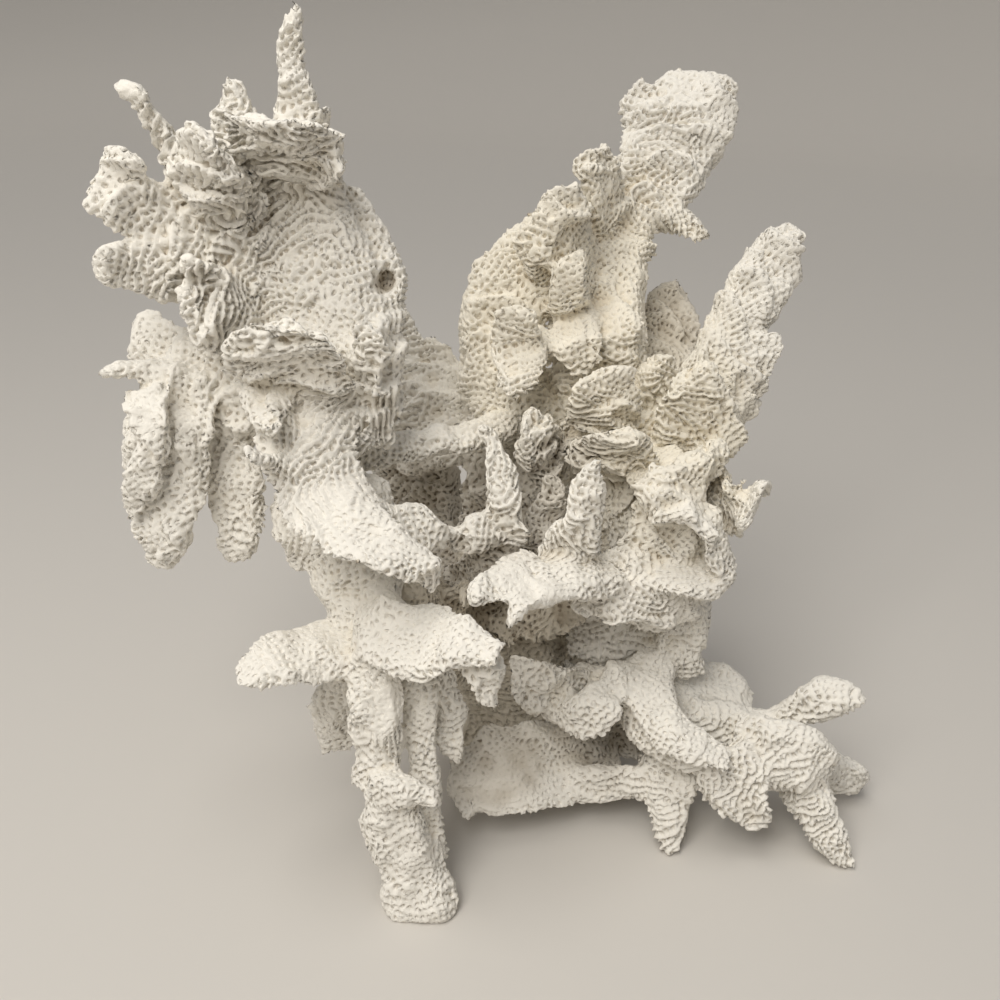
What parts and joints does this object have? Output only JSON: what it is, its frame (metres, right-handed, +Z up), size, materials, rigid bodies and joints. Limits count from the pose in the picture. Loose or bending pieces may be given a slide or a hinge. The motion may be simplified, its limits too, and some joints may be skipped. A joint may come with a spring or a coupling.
{
  "type": "lettuce coral",
  "caption": "Bleached lettuce coral skeleton of ruffled, ribbed fronds on spreading branches, cut off flat underneath, for display on a shelf or in a tank.",
  "frame": {"origin": "middle of the stump's flat cut, on the surface that the coral rests on", "axes": "+Z up, +X to the right seen from the front, +Y to the back"},
  "size_m": [0.301, 0.2079, 0.3049],
  "materials": {
    "bleached_coral": "matt, chalky",
    "aged_coral": "matt, rough and brownish grey"
  },
  "bodies": {
    "root": {"core": "aged_coral", "left_neck": "bleached_coral", "left_crown": "bleached_coral", "left_lobes": "bleached_coral", "front_tongue": "bleached_coral", "front_leg": "bleached_coral", "right_arm": "bleached_coral", "right_shelf": "bleached_coral", "right_fold": "bleached_coral", "right_cluster": "bleached_coral", "right_finger": "bleached_coral", "right_crown": "bleached_coral", "centre_arch": "bleached_coral", "centre_finger": "bleached_coral", "back_branch": "bleached_coral", "back_foot": "bleached_coral"}
  },
  "joints": []
}
